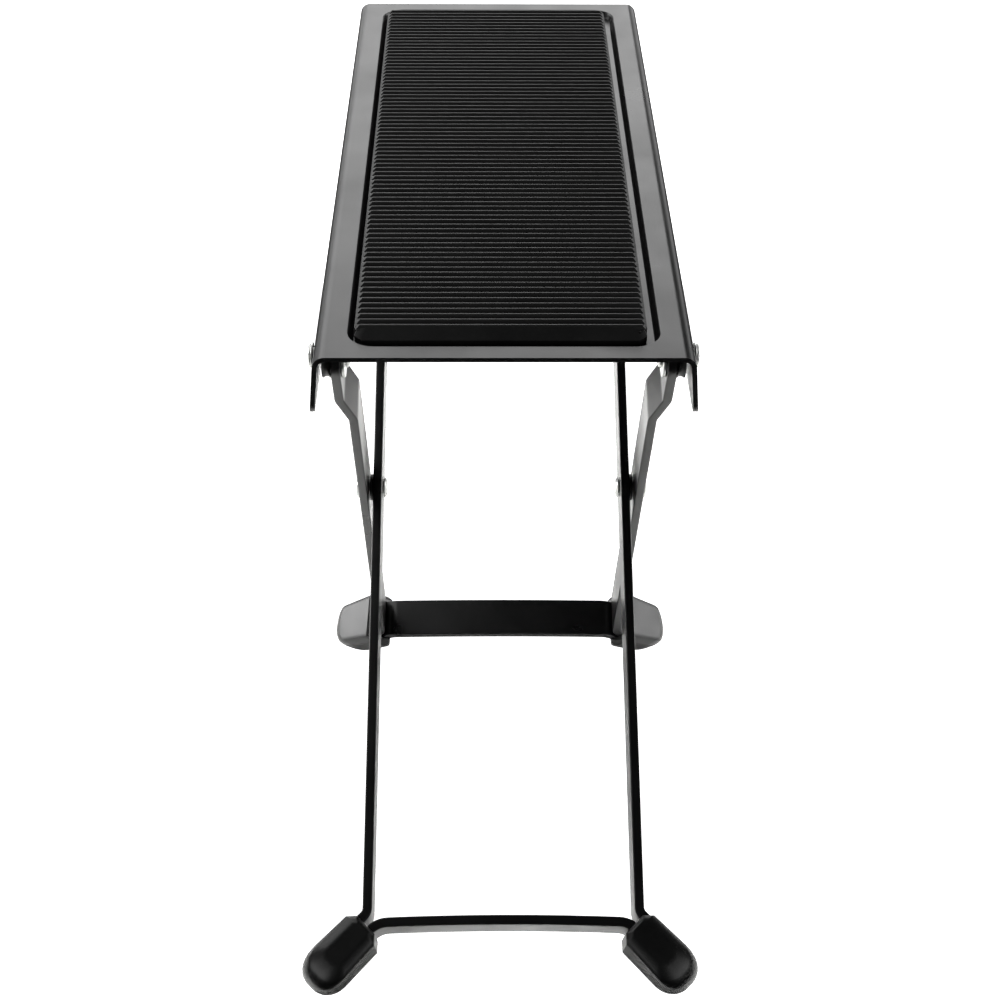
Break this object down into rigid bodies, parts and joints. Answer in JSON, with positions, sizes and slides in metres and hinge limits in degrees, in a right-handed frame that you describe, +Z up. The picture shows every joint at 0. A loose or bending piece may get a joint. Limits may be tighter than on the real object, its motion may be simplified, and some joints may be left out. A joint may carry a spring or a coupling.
{
  "type": "guitar footrest",
  "caption": "Folding guitar footrest: ribbed rubber pad on a notched steel plate, over crossed U-shaped leg frames with rubber feet.",
  "frame": {"origin": "on the floor, under the middle of the standing footrest's box", "axes": "+X to the right across the footrest, +Y from its low front end to its high rear end, +Z up"},
  "size_m": [0.1318, 0.3242, 0.2332],
  "materials": {
    "black_powder_coat": "semi-gloss powder coat",
    "black_rubber": "moulded, satin",
    "black_nylon": "moulded, satin",
    "zinc_plated_steel": "bright zinc plating"
  },
  "bodies": {
    "rear_frame": {"rear_leg_frame": "black_powder_coat", "rear_foot_left": "black_rubber", "rear_foot_right": "black_rubber", "plate_rivet_left": "zinc_plated_steel", "plate_rivet_right": "zinc_plated_steel", "plate_washer_left": "zinc_plated_steel", "plate_washer_right": "zinc_plated_steel", "plate_spacer_left": "black_nylon", "plate_spacer_right": "black_nylon", "plate_inner_washer_left": "zinc_plated_steel", "plate_inner_washer_right": "zinc_plated_steel", "leg_rivet_left": "zinc_plated_steel", "leg_rivet_right": "zinc_plated_steel", "leg_washer_left": "black_nylon", "leg_washer_right": "black_nylon"},
    "front_frame": {"front_leg_frame": "black_powder_coat", "front_foot_left": "black_rubber", "front_foot_right": "black_rubber", "catch_rod": "black_powder_coat", "rod_clip_left": "zinc_plated_steel", "rod_clip_right": "zinc_plated_steel"},
    "foot_plate": {"top_plate": "black_powder_coat", "rubber_pad": "black_rubber"}
  },
  "joints": [
    {"name": "leg_fold", "type": "hinge", "parent": "rear_frame", "child": "front_frame", "pos_m": [0, -0.03095, 0.11092], "axis": [-1, 0, 0], "range_deg": [0, 86]},
    {"name": "plate_fold", "type": "hinge", "parent": "rear_frame", "child": "foot_plate", "pos_m": [0, -0.07832, 0.18029], "axis": [-1, 0, 0], "range_deg": [0, 57.54]}
  ],
  "couplings": [
    {"joint": "plate_fold", "follows": "leg_fold", "ratio": 0.66887}
  ]
}
